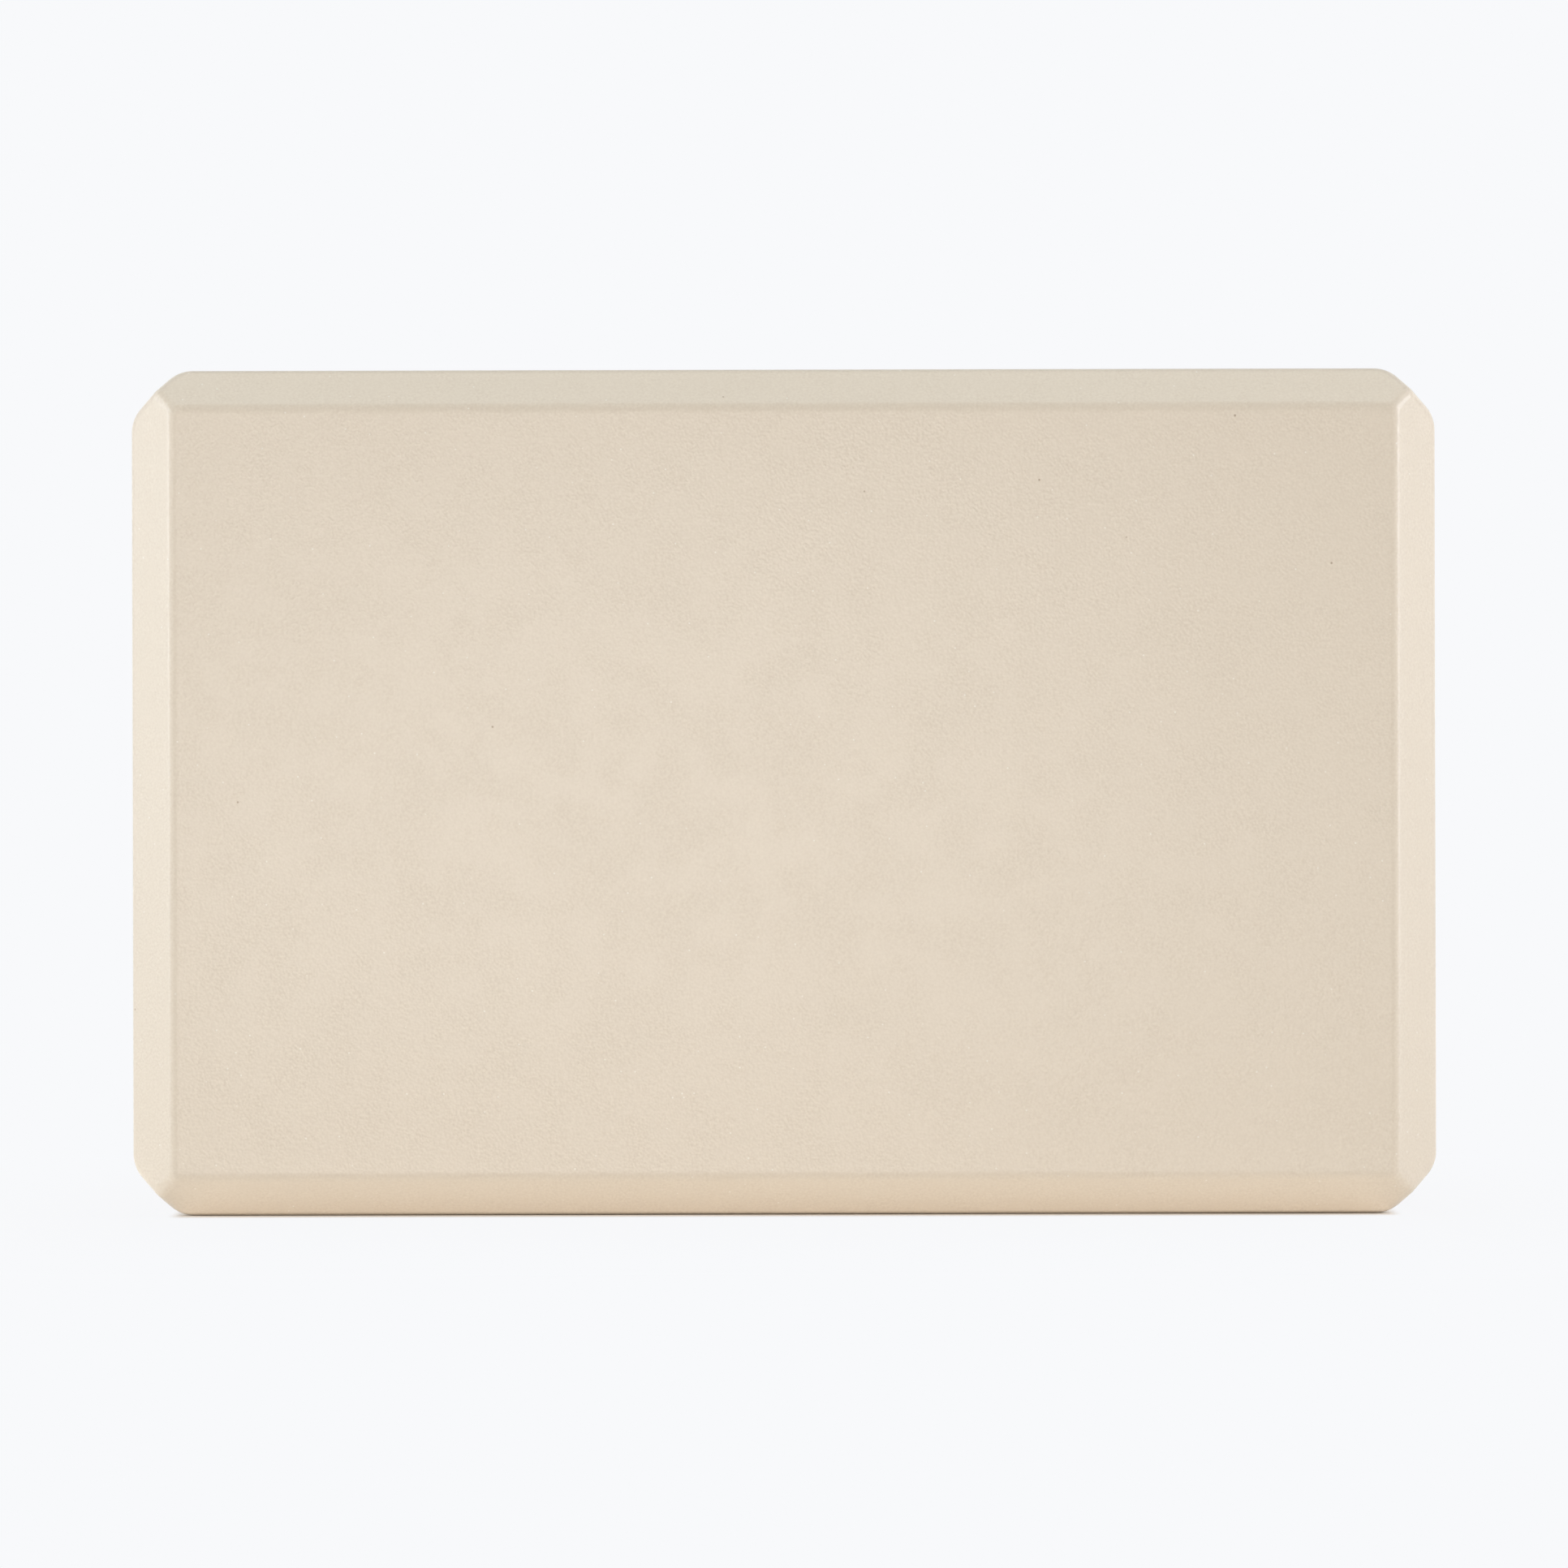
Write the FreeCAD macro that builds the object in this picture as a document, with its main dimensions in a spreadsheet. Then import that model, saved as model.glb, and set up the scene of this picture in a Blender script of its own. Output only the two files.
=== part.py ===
import FreeCAD, Part
import os
import Sketcher

# A yoga block of closed-cell foam: two thick plies, bonded face to face by a thin film of adhesive.
# The block stands on one long narrow side. X runs along its length, Y through its thickness with the
# front at -Y, and Z is up. The origin is the middle of the underside. All sizes are millimetres.

# The driving dimensions: name, size, meaning.
DRIVING_SIZES = (
    ("block_length", 230.0, "end to end, along X"),
    ("block_height", 149.0, "underside to top, along Z"),
    ("block_thickness", 75.0, "front face to back face, along Y"),
    ("end_bevel", 7.6, "leg of the bevel along the upright edges of the two large faces"),
    ("long_bevel", 6.8, "leg of the bevel along the level edges of the two large faces"),
    ("corner_bevel", 8.4, "leg of the bevel along the four edges that run through the thickness"),
    ("corner_round", 6.0, "radius where a corner bevel turns into a narrow side"),
    ("arris_round", 2.4, "radius of every arris around the large faces and between the bevels"),
    ("film_thickness", 0.3, "adhesive film between the plies"),
    ("seam_round", 0.4, "radius of each ply's edge beside the film"),
    ("film_setback", 0.5, "from the start of that round in to the edge of the film"),
)

# Signs for the two sides of a middle plane, front and rear or lower and upper.
FRONT, REAR = BOTH_SIDES = (-1, 1)

# Two faces that turn by less than this, in radians, run smoothly into each other.
SMOOTH_TURN = 0.02

# How close a point lies to a plane to be on it.
ON_PLANE = 1e-4

# A sketch numbers the points of each line in this order, and its own axes from -1 down. Its origin is
# the start of its level axis.
LINE_POINTS = ("whole line", "start", "end")
START, END = LINE_POINTS.index("start"), LINE_POINTS.index("end")
OWN_AXES = {"level": -1, "upright": -2}
SKETCH_ORIGIN = (OWN_AXES["level"], START)


def make_sheet(doc):
    """The sheet that holds every driving dimension under its name."""
    sheet = doc.addObject("Spreadsheet::Sheet", "sizes")
    for row, (alias, millimetres, meaning) in enumerate(DRIVING_SIZES, start=1):
        sheet.set(f"A{row}", alias)
        sheet.set(f"B{row}", str(millimetres))
        sheet.set(f"C{row}", meaning)
        sheet.setAlias(f"B{row}", alias)
    doc.recompute()
    return sheet


def sketch_on(body, name, role):
    """A sketch on one of the body's own origin planes."""
    plane = next(feature for feature in body.Origin.OriginFeatures if feature.Role == role)
    sketch = body.newObject("Sketcher::SketchObject", name)
    sketch.AttachmentSupport = [(plane, "")]
    sketch.MapMode = "FlatFace"
    return sketch


def drive(sketch, kind, ends, name, formula):
    """A dimension of the sketch, bound to a formula of the sheet's sizes."""
    (first, first_end), (second, second_end) = ends
    value = sketch.evalExpression(formula)
    index = sketch.addConstraint(Sketcher.Constraint(kind, first, first_end, second, second_end, value))
    sketch.renameConstraint(index, name)
    sketch.setExpression("Constraints." + name, formula)


def drive_from_origin(sketch, kind, line_end, side, name, formula):
    """A distance from the sketch's origin, to the side that the sign gives."""
    ends = (SKETCH_ORIGIN, line_end) if side > 0 else (line_end, SKETCH_ORIGIN)
    drive(sketch, kind, ends, name, formula)


def add_closed_lines(sketch, corners):
    """Straight lines through the corners and back to the first; returns their numbers."""
    lines = []
    for start, end in zip(corners, corners[1:] + corners[:1]):
        ends = (FreeCAD.Vector(*start, 0), FreeCAD.Vector(*end, 0))
        lines.append(sketch.addGeometry(Part.LineSegment(*ends), False))
    for line, following in zip(lines, lines[1:] + lines[:1]):
        sketch.addConstraint(Sketcher.Constraint("Coincident", line, END, following, START))
    return lines


def outline_sketch(body, inset):
    """The block's outline from the front: a rectangle with bevelled corners, drawn in by the inset.

    Where all eight sides are drawn in alike, each leg of a corner bevel shortens by 2 - sqrt(2) of that.
    """
    half_length = f"sizes.block_length / 2 - ({inset})"
    half_height = f"sizes.block_height / 2 - ({inset})"
    corner_leg = f"sizes.corner_bevel - (2 - sqrt(2)) * ({inset})"
    sketch = sketch_on(body, body.Name + "_outline", "XZ_Plane")
    along, up, leg = (sketch.evalExpression(text) for text in (half_length, half_height, corner_leg))
    corners = [
        (-along + leg, up),
        (along - leg, up),
        (along, up - leg),
        (along, -up + leg),
        (along - leg, -up),
        (-along + leg, -up),
        (-along, -up + leg),
        (-along, up - leg),
    ]
    top, bevel, right, _, bottom, _, left, _ = add_closed_lines(sketch, corners)
    for lines, axis in (((top, bottom), "upright"), ((left, right), "level")):
        for line in lines:
            sketch.addConstraint(Sketcher.Constraint("Symmetric", line, START, line, END, OWN_AXES[axis]))
    sketch.addConstraint(Sketcher.Constraint("Equal", top, bottom))
    sketch.addConstraint(Sketcher.Constraint("Equal", left, right))
    drive_from_origin(sketch, "DistanceX", (right, START), 1, "right_half", half_length)
    drive_from_origin(sketch, "DistanceX", (left, START), -1, "left_half", half_length)
    drive_from_origin(sketch, "DistanceY", (top, START), 1, "upper_half", half_height)
    drive_from_origin(sketch, "DistanceY", (bottom, START), -1, "lower_half", half_height)
    drive(sketch, "DistanceX", ((bevel, START), (bevel, END)), "corner_leg_along", corner_leg)
    drive(sketch, "DistanceY", ((bevel, END), (bevel, START)), "corner_leg_up", corner_leg)
    return sketch


def add_bevel_cutter(sketch, name, level_side, upright_side, level_half, upright_half, bevel):
    """A triangle over one corner of a section, whose long side lies where the bevel is to be.

    It stands out past both faces by one bevel leg, so that the cut leaves no skin behind.
    """
    overhang = bevel
    level_reach = f"{level_half} + {overhang}"
    upright_reach = f"{upright_half} + {overhang}"
    cutter_leg = f"{bevel} + 2 * {overhang}"
    level = sketch.evalExpression(level_reach) * level_side
    upright = sketch.evalExpression(upright_reach) * upright_side
    leg = sketch.evalExpression(cutter_leg)
    corners = [
        (level, upright),
        (level - leg * level_side, upright),
        (level, upright - leg * upright_side),
    ]
    level_leg, _, upright_leg = add_closed_lines(sketch, corners)
    sketch.addConstraint(Sketcher.Constraint("Horizontal", level_leg))
    sketch.addConstraint(Sketcher.Constraint("Vertical", upright_leg))
    sketch.addConstraint(Sketcher.Constraint("Equal", level_leg, upright_leg))
    corner = (level_leg, START)
    drive_from_origin(sketch, "DistanceX", corner, level_side, name + "_level", level_reach)
    drive_from_origin(sketch, "DistanceY", corner, upright_side, name + "_upright", upright_reach)
    drive(sketch, "Distance", (corner, (level_leg, END)), name + "_leg", cutter_leg)


def cut_through(body, name, sketch):
    """Cuts the sketch's outlines right through the body, both ways from the sketch's plane."""
    body.Document.recompute()
    volume_before = body.Shape.Volume
    pocket = body.newObject("PartDesign::Pocket", name)
    pocket.Profile = sketch
    pocket.Type = "ThroughAll"
    pocket.SideType = "Symmetric"
    body.Document.recompute()
    if body.Shape.Volume >= volume_before:
        raise ValueError(f"{name} cuts nothing off {body.Label}")


def cut_bevels(body, side):
    """The bevels along the four edges of the ply's large face."""
    half_thickness = "sizes.block_thickness / 2"
    long_edges = sketch_on(body, body.Name + "_long_edges", "YZ_Plane")
    end_edges = sketch_on(body, body.Name + "_end_edges", "XY_Plane")
    for other_side, where in zip(BOTH_SIDES, ("lower", "upper")):
        add_bevel_cutter(
            long_edges, where, side, other_side, half_thickness, "sizes.block_height / 2", "sizes.long_bevel"
        )
    for other_side, where in zip(BOTH_SIDES, ("left", "right")):
        add_bevel_cutter(
            end_edges, where, other_side, side, "sizes.block_length / 2", half_thickness, "sizes.end_bevel"
        )
    cut_through(body, body.Name + "_long_bevels", long_edges)
    cut_through(body, body.Name + "_end_bevels", end_edges)


def turn_at(shape, edge, middle):
    """The angle by which the surface turns at the middle of an edge."""
    normals = []
    for face in shape.ancestorsOfType(edge, Part.Face):
        normals.append(face.normalAt(*face.Surface.parameter(middle)))
    return normals[0].getAngle(normals[1])


def sharp_edges(shape, wanted):
    """Names of the edges where the surface turns, and whose middle and direction are wanted."""
    names = []
    for number, edge in enumerate(shape.Edges, start=1):
        if edge.Degenerated:
            continue
        parameter = (edge.FirstParameter + edge.LastParameter) / 2
        middle = edge.valueAt(parameter)
        if wanted(middle, edge.tangentAt(parameter)) and turn_at(shape, edge, middle) > SMOOTH_TURN:
            names.append(f"Edge{number}")
    return names


def runs_through_the_thickness(middle, direction):
    """Whether an edge runs from front to rear."""
    return abs(direction.y) > 1 - ON_PLANE


def round_edges(body, name, wanted, radius):
    """Rounds the wanted sharp edges of the body as it is so far."""
    body.Document.recompute()
    base = body.Tip
    fillet = body.newObject("PartDesign::Fillet", name)
    fillet.Base = (base, sharp_edges(base.Shape, wanted))
    fillet.setExpression("Radius", radius)
    body.Document.recompute()


def stand_on_underside(body):
    """Each body is drawn about the middle of the block, and stands half the height higher."""
    body.setExpression("Placement.Base.z", "sizes.block_height / 2")


def make_ply(doc, label, side):
    """One foam ply, from the adhesive film out to its large face."""
    body = doc.addObject("PartDesign::Body", label)
    body.Label = label
    outline = outline_sketch(body, inset="0")
    film_side = f"{-side} * sizes.film_thickness / 2"
    outline.setExpression("AttachmentOffset.Base.z", film_side)
    slab = body.newObject("PartDesign::Pad", label + "_slab")
    slab.Profile = outline
    slab.Reversed = side == REAR
    slab.setExpression("Length", "(sizes.block_thickness - sizes.film_thickness) / 2")

    bond_plane = side * doc.sizes.film_thickness / 2

    def lies_on_the_bond_plane(middle, direction):
        return abs(middle.y - bond_plane) < ON_PLANE

    def lies_off_the_bond_plane(middle, direction):
        return not lies_on_the_bond_plane(middle, direction)

    round_edges(body, label + "_corner_round", runs_through_the_thickness, "sizes.corner_round")
    cut_bevels(body, side)
    round_edges(body, label + "_arris_round", lies_off_the_bond_plane, "sizes.arris_round")
    round_edges(body, label + "_seam_round", lies_on_the_bond_plane, "sizes.seam_round")
    stand_on_underside(body)
    return body


def make_film(doc, label):
    """The adhesive film, which stops short of the plies' rounded edges all the way round."""
    edge_gap = "sizes.seam_round + sizes.film_setback"
    body = doc.addObject("PartDesign::Body", label)
    body.Label = label
    film = body.newObject("PartDesign::Pad", label + "_sheet")
    film.Profile = outline_sketch(body, inset=edge_gap)
    film.SideType = "Symmetric"
    film.setExpression("Length", "sizes.film_thickness")
    corner_radius = f"sizes.corner_round - ({edge_gap})"
    round_edges(body, label + "_corner_round", runs_through_the_thickness, corner_radius)
    stand_on_underside(body)
    return body


def check(doc, bodies):
    """Stops if any feature failed, or if a piece isn't one sound solid."""
    for feature in doc.Objects:
        if "Invalid" in feature.State or "Error" in feature.State:
            raise ValueError(f"{feature.Name} failed: {feature.State}")
    for body in bodies:
        if body.Shape.isNull() or not body.Shape.isValid() or len(body.Shape.Solids) != 1:
            raise ValueError(f"{body.Label} isn't one sound solid")


def main():
    """Builds the three pieces, checks them and writes one file for each."""
    doc = FreeCAD.newDocument("yoga_block")
    make_sheet(doc)
    bodies = [
        make_ply(doc, "front_foam_ply", FRONT),
        make_ply(doc, "rear_foam_ply", REAR),
        make_film(doc, "bond_film"),
    ]
    doc.recompute()
    check(doc, bodies)
    os.makedirs("parts", exist_ok=True)
    for body in bodies:
        box = body.Shape.optimalBoundingBox()
        print(f"{body.Label}: {body.Shape.Volume:.0f} mm3, {len(body.Shape.Faces)} faces")
        print(f"  x {box.XMin:.2f} to {box.XMax:.2f}, y {box.YMin:.2f} to {box.YMax:.2f}")
        print(f"  z {box.ZMin:.2f} to {box.ZMax:.2f}")
        body.Shape.exportStep(f"parts/{body.Label}.step")


main()
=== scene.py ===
# %% [markdown]
# A foam yoga block, stood on one long narrow side and seen square to its large face. The real one is
# closed-cell foam: two thick plies bonded face to face, with a bevel along every edge and a fine
# pebbled skin. There is little on it to model, so this lesson is about soft light on a pale, satin
# surface, about edges that are rounded as foam rounds, and about grain at its true size.

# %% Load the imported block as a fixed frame
import math

import bmesh
import bpy
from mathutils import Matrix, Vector


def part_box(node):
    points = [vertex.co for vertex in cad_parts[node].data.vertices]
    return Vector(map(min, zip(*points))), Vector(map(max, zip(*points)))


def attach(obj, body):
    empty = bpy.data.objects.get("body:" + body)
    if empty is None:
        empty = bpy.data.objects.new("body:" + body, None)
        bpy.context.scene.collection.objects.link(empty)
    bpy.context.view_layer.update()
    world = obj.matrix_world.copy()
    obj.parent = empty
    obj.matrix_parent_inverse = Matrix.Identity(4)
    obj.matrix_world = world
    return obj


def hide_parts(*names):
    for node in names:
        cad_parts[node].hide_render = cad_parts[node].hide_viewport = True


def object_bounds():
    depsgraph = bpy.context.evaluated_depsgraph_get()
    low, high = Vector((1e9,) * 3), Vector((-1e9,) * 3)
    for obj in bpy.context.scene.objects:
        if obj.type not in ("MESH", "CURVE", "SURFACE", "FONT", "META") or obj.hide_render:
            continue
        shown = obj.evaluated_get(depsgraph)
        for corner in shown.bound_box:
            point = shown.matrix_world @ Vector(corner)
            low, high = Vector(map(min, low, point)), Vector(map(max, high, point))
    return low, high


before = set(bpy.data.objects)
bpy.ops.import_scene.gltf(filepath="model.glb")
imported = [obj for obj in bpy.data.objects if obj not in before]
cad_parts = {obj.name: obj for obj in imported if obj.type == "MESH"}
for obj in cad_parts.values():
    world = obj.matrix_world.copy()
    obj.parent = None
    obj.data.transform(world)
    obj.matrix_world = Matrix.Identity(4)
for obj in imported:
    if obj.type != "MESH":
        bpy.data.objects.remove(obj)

cad_low, cad_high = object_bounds()
BLOCK_LENGTH, BLOCK_THICKNESS, BLOCK_HEIGHT = cad_high - cad_low
BLOCK_MIDDLE = (cad_low + cad_high) / 2
film_low, film_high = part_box("bond_film")
FILM_THICKNESS = film_high.y - film_low.y
MM = 0.001
print(f"block {BLOCK_LENGTH / MM:.1f} x {BLOCK_THICKNESS / MM:.1f} x {BLOCK_HEIGHT / MM:.1f} mm")
print(f"film {FILM_THICKNESS / MM:.2f} mm thick")

# %% [markdown]
# The camera. The photograph is taken square on from a good arm's length with a long lens, so that the
# narrow sides stay out of sight and only their bevels show. A camera could be turned and shifted until
# the picture fits. Here it stands level instead, a little above the block's middle, because the block
# sits that much below the middle of the picture. Its roll is the photograph's own, an eighth of a degree.

# %% Place the camera
PHOTO_SIZE = 1932
BLOCK_BELOW_PICTURE_MIDDLE = 9.7
LENS_MM = 157.2
SENSOR_MM = 36.0
CAMERA_TO_FACE = 1.2
CAMERA_ROLL = math.radians(0.13)

focal_pixels = LENS_MM / SENSOR_MM * PHOTO_SIZE
metres_per_pixel = CAMERA_TO_FACE / focal_pixels
camera_height = BLOCK_MIDDLE.z + BLOCK_BELOW_PICTURE_MIDDLE * metres_per_pixel

camera_data = bpy.data.cameras.new("photo_camera")
camera_data.lens = LENS_MM
camera_data.sensor_width = SENSOR_MM
camera = bpy.data.objects.new("photo_camera", camera_data)
camera.location = (BLOCK_MIDDLE.x, cad_low.y - CAMERA_TO_FACE, camera_height)
camera.rotation_euler = (math.pi / 2, CAMERA_ROLL, 0)
bpy.context.scene.collection.objects.link(camera)
bpy.context.scene.camera = camera
bpy.context.scene.view_settings.view_transform = "Standard"
print(f"camera {CAMERA_TO_FACE:.2f} m from the face, {1 / metres_per_pixel * MM:.2f} pixels per mm there")

# %% [markdown]
# Node trees make both the foam's shape and its finish. Written out link by link they get long, so a few
# small helpers come first. One adds a node and feeds its inputs, where a value is either a plain number
# or another node's output. The others write a sum on numbers or on vectors in one line, take a vector
# apart or put one together, and run a value from one range into another.


# %% Helpers for node trees
def feed(tree, socket, value):
    """Links another node's output to the socket, or sets the socket's own value."""
    if isinstance(value, bpy.types.NodeSocket):
        tree.links.new(value, socket)
    else:
        socket.default_value = value


def add_node(tree, kind, feeds=None, **settings):
    """Adds a node with these settings, and feeds its inputs by name or number."""
    node = tree.nodes.new(kind)
    for setting, value in settings.items():
        setattr(node, setting, value)
    for key, value in (feeds or {}).items():
        feed(tree, node.inputs[key], value)
    return node


def sums(tree, operation, *values):
    """The result of one Math node."""
    return add_node(tree, "ShaderNodeMath", dict(enumerate(values)), operation=operation).outputs[0]


def vectors(tree, operation, *values):
    """The vector that one Vector Math node gives."""
    return add_node(tree, "ShaderNodeVectorMath", dict(enumerate(values)), operation=operation).outputs[0]


def scaled(tree, vector, factor):
    """A vector times a number."""
    return add_node(tree, "ShaderNodeVectorMath", {0: vector, 3: factor}, operation="SCALE").outputs[0]


def parts_of(tree, vector):
    """The three numbers of a vector."""
    return add_node(tree, "ShaderNodeSeparateXYZ", {0: vector}).outputs


def vector_of(tree, x=0.0, y=0.0, z=0.0):
    """A vector made of three numbers."""
    return add_node(tree, "ShaderNodeCombineXYZ", {0: x, 1: y, 2: z}).outputs[0]


def ramp(tree, value, start, stop, low=0.0, high=1.0, smooth=False):
    """Runs from low to high while the value runs from start to stop, and stays level beyond."""
    feeds = {"Value": value, "From Min": start, "From Max": stop, "To Min": low, "To Max": high}
    kind = "SMOOTHSTEP" if smooth else "LINEAR"
    return add_node(tree, "ShaderNodeMapRange", feeds, interpolation_type=kind).outputs[0]


# %% [markdown]
# The shape of a ply. Its outline is a rectangle with bevelled corners, its large face has a bevel along
# all four edges, and every arris is rounded over. A Bevel modifier would round a hard-edged solid, but it
# struggles where three bevels meet in one corner. This lesson rounds the way a ball would: a sharp core
# is made that is smaller all round by the rounding radius, and the skin is laid that radius away from it.
# Flats stay flat, edges become round and corners become pieces of a ball, with no special cases.
#
# Both plies have the same shape, so one Geometry Nodes tree makes them, with its sizes as inputs.

# %% Start the ply's tree
ply_tree = bpy.data.node_groups.new("foam_ply_shape", "GeometryNodeTree")
PLY_INPUTS = {
    "Length": "NodeSocketFloat",
    "Height": "NodeSocketFloat",
    "Thickness": "NodeSocketFloat",
    "Film": "NodeSocketFloat",
    "End Bevel": "NodeSocketFloat",
    "Long Bevel": "NodeSocketFloat",
    "Corner Bevel": "NodeSocketFloat",
    "Corner Round": "NodeSocketFloat",
    "Arris Round": "NodeSocketFloat",
    "Seam Round": "NodeSocketFloat",
    "Wobble": "NodeSocketFloat",
    "Wobble Span": "NodeSocketFloat",
    "Seed": "NodeSocketFloat",
    "Turn": "NodeSocketFloat",
    "Foam": "NodeSocketMaterial",
}
for name, kind in PLY_INPUTS.items():
    ply_tree.interface.new_socket(name, in_out="INPUT", socket_type=kind)
ply_tree.interface.new_socket("Ply", in_out="OUTPUT", socket_type="NodeSocketGeometry")
size = ply_tree.nodes.new("NodeGroupInput").outputs
print(f"{ply_tree.name}: {len(PLY_INPUTS)} inputs")

# %% [markdown]
# The core's sizes. Each half side is shorter than the block's by the rounding radius. A 45 degree bevel
# drawn in with it keeps its slope, and its legs shorten by two minus the root of two times that radius.

# %% The core's half sides and bevel legs
LEG_LOST_PER_INSET = 2 - math.sqrt(2)
inset = size["Arris Round"]


def core_half(side):
    """Half of a side of the core."""
    return sums(ply_tree, "SUBTRACT", sums(ply_tree, "MULTIPLY", side, 0.5), inset)


def core_leg(leg):
    """The leg of a bevel on the core."""
    return sums(ply_tree, "MULTIPLY_ADD", inset, -LEG_LOST_PER_INSET, leg)


half_along = core_half(size["Length"])
half_through = core_half(size["Thickness"])
half_up = core_half(size["Height"])
end_leg = core_leg(size["End Bevel"])
long_leg = core_leg(size["Long Bevel"])
corner_leg = core_leg(size["Corner Bevel"])
print(f"a bevel leg of the core is shorter by {LEG_LOST_PER_INSET:.3f} of the rounding radius")

# %% [markdown]
# The core's outline. Fillet Curve with a single step turns each corner of a rectangle into a straight
# bevel, and a second one with more steps eases the two blunt corners that each bevel leaves. The skin adds
# its own radius to that, so only the difference between the two radii is rounded here.

# %% Draw the core's outline
EASING_STEPS = 8
OUTLINE_STEP = 0.4 * MM

core_sides = {
    "Width": sums(ply_tree, "MULTIPLY", half_along, 2.0),
    "Height": sums(ply_tree, "MULTIPLY", half_up, 2.0),
}
rectangle = add_node(ply_tree, "GeometryNodeCurvePrimitiveQuadrilateral", core_sides, mode="RECTANGLE")
bevelled = add_node(
    ply_tree,
    "GeometryNodeFilletCurve",
    {"Curve": rectangle.outputs[0], "Radius": corner_leg, "Count": 1},
    mode="POLY",
)
easing = sums(ply_tree, "SUBTRACT", size["Corner Round"], size["Arris Round"])
eased = add_node(
    ply_tree,
    "GeometryNodeFilletCurve",
    {"Curve": bevelled.outputs[0], "Radius": easing, "Count": EASING_STEPS},
    mode="POLY",
)
outline = add_node(
    ply_tree,
    "GeometryNodeResampleCurve",
    {"Curve": eased.outputs[0], "Length": OUTLINE_STEP},
    mode="LENGTH",
).outputs[0]
print(f"outline in steps of {OUTLINE_STEP / MM:.1f} mm, each corner eased in {EASING_STEPS} steps")

# %% [markdown]
# From outline to core. Each point of the outline reaches forwards and back until it meets the nearer of
# two bevel planes: the one along the ends or the one along the long sides. Those points and the corners of
# the two large faces are all that a convex solid needs, so a Convex Hull makes the core from them.

# %% Make the core
here = ply_tree.nodes.new("GeometryNodeInputPosition").outputs[0]
outline_along, outline_up, _ = parts_of(ply_tree, here)


def reach_to_bevel(half, place, leg):
    """How far a point of the outline may go through the thickness before it meets a bevel."""
    clear_of_edge = sums(ply_tree, "SUBTRACT", half, sums(ply_tree, "ABSOLUTE", place))
    return sums(ply_tree, "ADD", sums(ply_tree, "SUBTRACT", half_through, leg), clear_of_edge)


reach = sums(
    ply_tree,
    "MINIMUM",
    reach_to_bevel(half_along, outline_along, end_leg),
    reach_to_bevel(half_up, outline_up, long_leg),
)
core_points = ply_tree.nodes.new("GeometryNodeJoinGeometry")
face_size = {
    "Size X": sums(ply_tree, "MULTIPLY", sums(ply_tree, "SUBTRACT", half_along, end_leg), 2.0),
    "Size Y": sums(ply_tree, "MULTIPLY", sums(ply_tree, "SUBTRACT", half_up, long_leg), 2.0),
    "Vertices X": 2,
    "Vertices Y": 2,
}
face_corners = add_node(ply_tree, "GeometryNodeMeshGrid", face_size).outputs[0]
for side in (-1.0, 1.0):
    where = vector_of(ply_tree, outline_along, sums(ply_tree, "MULTIPLY", reach, side), outline_up)
    rim = add_node(ply_tree, "GeometryNodeSetPosition", {"Geometry": outline, "Position": where})
    ply_tree.links.new(rim.outputs[0], core_points.inputs[0])
    depth = vector_of(ply_tree, y=sums(ply_tree, "MULTIPLY", half_through, side))
    stood_up = {"Geometry": face_corners, "Translation": depth, "Rotation": (math.pi / 2, 0, 0)}
    face = add_node(ply_tree, "GeometryNodeTransform", stood_up)
    ply_tree.links.new(face.outputs[0], core_points.inputs[0])
core = add_node(ply_tree, "GeometryNodeConvexHull", {0: core_points.outputs[0]}).outputs[0]
print(f"core: {len(ply_tree.nodes)} nodes so far")

# %% [markdown]
# The skin starts as a plain box of rows and columns, the size of one ply. A round arris needs many rows
# and a flat face needs few, so the rows are laid out in stretches: close together in an edge zone that
# takes in the bevel and its two arrises, and wide apart between. Beside the bond there is one more close
# stretch, for the small round there.

# %% Lay out the skin's rows
EDGE_ZONE = 11 * MM
EDGE_ROWS = 28.0
SEAM_ZONE = 0.9 * MM
SEAM_ROWS = 12.0
WIDE_STEP = 2.5 * MM


def wide_rows(length):
    """How many wide rows a stretch takes."""
    return sums(ply_tree, "CEIL", sums(ply_tree, "DIVIDE", length, WIDE_STEP))


def count_rows(stretches):
    """The rows of all the stretches together."""
    total = 0.0
    for rows, _ in stretches:
        total = sums(ply_tree, "ADD", total, rows)
    return total


def lay_rows(share, stretches):
    """How far out a row lies, where share runs evenly over all the rows from 0 to 1."""
    total = count_rows(stretches)
    rows_so_far, place = 0.0, 0.0
    for rows, length in stretches:
        start = sums(ply_tree, "DIVIDE", rows_so_far, total)
        rows_so_far = sums(ply_tree, "ADD", rows_so_far, rows)
        stop = sums(ply_tree, "DIVIDE", rows_so_far, total)
        place = sums(ply_tree, "ADD", place, ramp(ply_tree, share, start, stop, 0.0, length))
    return place


def half_side_stretches(side):
    """From the middle of a side to its end: wide rows, then close ones."""
    middle = sums(ply_tree, "SUBTRACT", sums(ply_tree, "MULTIPLY", side, 0.5), EDGE_ZONE)
    return [(wide_rows(middle), middle), (EDGE_ROWS, EDGE_ZONE)]


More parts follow.
